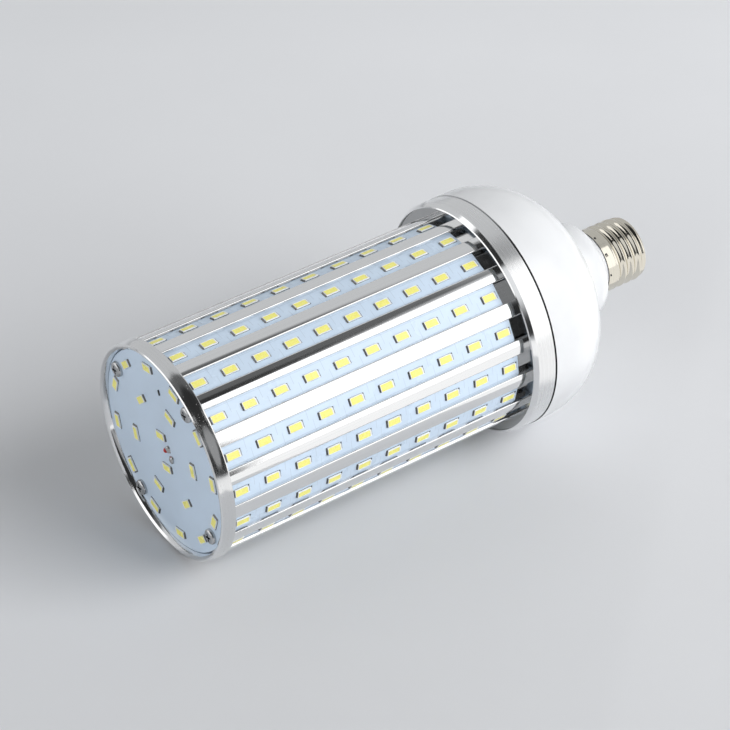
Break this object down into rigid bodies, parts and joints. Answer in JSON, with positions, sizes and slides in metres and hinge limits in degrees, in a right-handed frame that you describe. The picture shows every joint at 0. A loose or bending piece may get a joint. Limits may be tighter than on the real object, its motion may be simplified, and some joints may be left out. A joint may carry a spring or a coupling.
{
  "type": "corn led bulb",
  "caption": "Corn LED bulb: light strips slide into the slots of a ribbed aluminium tube, with a round light board on its end, a white domed housing and an E27 screw cap.",
  "frame": {"origin": "centre of the light end's flat rim, at the base of the bulb as it stands on its head", "axes": "+Z along the bulb's axis from the light end to the screw cap, +X out through light strip 01"},
  "size_m": [0.0934, 0.0934, 0.2195],
  "materials": {
    "aluminium_satin": "satin anodised",
    "board_white": "white solder mask on an aluminium core",
    "chip_body": "white moulded package with a yellow window",
    "solder": "bright tin",
    "screw_steel": "nickel plated",
    "housing_plastic": "gloss white moulding",
    "cap_nickel": "nickel plated sheet",
    "insulator_dark": "dark vitrified insulator",
    "contact_metal": "tinned button",
    "driver_laminate": "green circuit laminate",
    "wound_core": "ferrite with yellow tape",
    "capacitor_sleeve": "dark sleeve",
    "black_moulding": "black moulding",
    "lead_red": "red insulation",
    "lead_black": "black insulation",
    "lead_white": "white insulation"
  },
  "bodies": {
    "root": {"end_ring": "aluminium_satin", "end_board": "board_white", "end_chips": "chip_body", "end_solder": "solder", "end_screws": "screw_steel", "heat_sink": "aluminium_satin", "collar": "aluminium_satin", "collar_screws": "screw_steel", "housing": "housing_plastic", "cap_shell": "cap_nickel", "cap_insulator": "insulator_dark", "cap_contact": "contact_metal", "driver_board": "driver_laminate", "driver_transformer": "wound_core", "driver_capacitors": "capacitor_sleeve", "driver_choke": "wound_core", "driver_rectifier": "black_moulding", "red_lead": "lead_red", "black_lead": "lead_black", "live_lead": "lead_black", "neutral_lead": "lead_white", "led_board_01": "board_white", "led_chips_01": "chip_body", "led_board_02": "board_white", "led_chips_02": "chip_body", "led_board_03": "board_white", "led_chips_03": "chip_body", "led_board_04": "board_white", "led_chips_04": "chip_body", "led_board_05": "board_white", "led_chips_05": "chip_body", "led_board_06": "board_white", "led_chips_06": "chip_body", "led_board_07": "board_white", "led_chips_07": "chip_body", "led_board_08": "board_white", "led_chips_08": "chip_body", "led_board_09": "board_white", "led_chips_09": "chip_body", "led_board_10": "board_white", "led_chips_10": "chip_body", "led_board_11": "board_white", "led_chips_11": "chip_body", "led_board_12": "board_white", "led_chips_12": "chip_body", "led_board_13": "board_white", "led_chips_13": "chip_body", "led_board_14": "board_white", "led_chips_14": "chip_body", "led_board_15": "board_white", "led_chips_15": "chip_body", "led_board_16": "board_white", "led_chips_16": "chip_body", "led_board_17": "board_white", "led_chips_17": "chip_body", "led_board_18": "board_white", "led_chips_18": "chip_body"}
  },
  "joints": []
}
